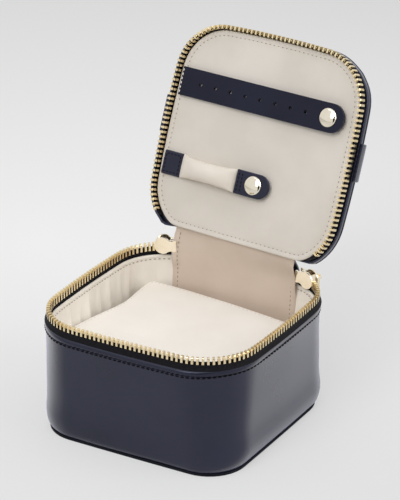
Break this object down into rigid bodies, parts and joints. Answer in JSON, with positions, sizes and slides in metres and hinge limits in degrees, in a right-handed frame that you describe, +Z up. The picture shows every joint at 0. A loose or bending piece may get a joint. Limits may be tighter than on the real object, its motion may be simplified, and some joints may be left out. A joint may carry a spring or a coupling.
{
  "type": "leather jewellery case",
  "caption": "Square zip-round leather jewellery case with a loose padded cushion, a soft-hinged lid, an earring strap and a ring roll.",
  "frame": {"origin": "centre of the base's underside, where the case rests", "axes": "+X to the right of the open case, +Y to the hinge at the back, +Z up"},
  "size_m": [0.1194, 0.1577, 0.1729],
  "materials": {
    "navy_leather": "smooth grained leather, satin",
    "leather_edge": "dark painted leather edge, satin",
    "board": "stiff paper board, matte",
    "lining_fabric": "fine suede-like cloth, matte",
    "cushion_fabric": "fine suede-like cloth, matte",
    "foam": "thin foam padding",
    "zip_tape": "woven tape, matte",
    "gold_metal": "polished pale gold plating"
  },
  "bodies": {
    "case": {"base_panel": "leather_edge", "base_board": "board", "body_shell": "navy_leather", "body_board": "board", "body_welt": "navy_leather", "body_lining": "lining_fabric", "floor_lining": "lining_fabric", "body_zip_tape": "zip_tape", "body_zip_teeth": "gold_metal", "left_slider": "gold_metal", "right_slider": "gold_metal", "hinge_leather": "navy_leather", "hinge_lining": "lining_fabric"},
    "lid": {"lid_gusset": "navy_leather", "lid_top_panel": "navy_leather", "lid_band": "navy_leather", "lid_board": "board", "lid_padding": "foam", "lid_lining": "lining_fabric", "lid_zip_tape": "zip_tape", "lid_zip_teeth": "gold_metal", "earring_strap_snap_stud": "gold_metal", "ring_roll_tab": "navy_leather", "ring_roll_snap_stud": "gold_metal"},
    "earring_strap": {"earring_strap": "navy_leather", "earring_strap_snap_cap": "gold_metal", "earring_strap_snap_socket": "gold_metal"},
    "ring_roll": {"ring_roll": "cushion_fabric", "ring_roll_snap_tab": "navy_leather", "ring_roll_snap_cap": "gold_metal", "ring_roll_snap_socket": "gold_metal"},
    "left_pull": {"left_pull": "gold_metal"},
    "right_pull": {"right_pull": "gold_metal"},
    "cushion": {"cushion_pad": "cushion_fabric"}
  },
  "joints": [
    {"name": "lid_hinge", "type": "hinge", "parent": "case", "child": "lid", "pos_m": [0, 0.0522, 0.0705], "axis": [-0.9986, 0.0436, -0.0294], "range_deg": [-112.07, 0], "deforming": ["hinge_leather", "hinge_lining"]},
    {"name": "earring_strap_lift", "type": "hinge", "parent": "lid", "child": "earring_strap", "pos_m": [-0.04843, 0.08151, 0.14087], "axis": [-0.0326, -0.3732, -0.9272], "range_deg": [0, 90]},
    {"name": "ring_roll_lift", "type": "hinge", "parent": "lid", "child": "ring_roll", "pos_m": [-0.03841, 0.063, 0.10245], "axis": [-0.0326, -0.3732, -0.9272], "range_deg": [0, 90]},
    {"name": "left_pull_swing", "type": "hinge", "parent": "case", "child": "left_pull", "pos_m": [-0.04214, 0.05709, 0.0628], "axis": [0.9613, 0.2756, 0], "range_deg": [0, 95]},
    {"name": "right_pull_swing", "type": "hinge", "parent": "case", "child": "right_pull", "pos_m": [0.04214, 0.05709, 0.0628], "axis": [0.9613, -0.2756, 0], "range_deg": [0, 95]},
    {"name": "cushion_lift", "type": "slide", "parent": "case", "child": "cushion", "axis": [0, 0, 1], "range_m": [0, 0.05]}
  ]
}
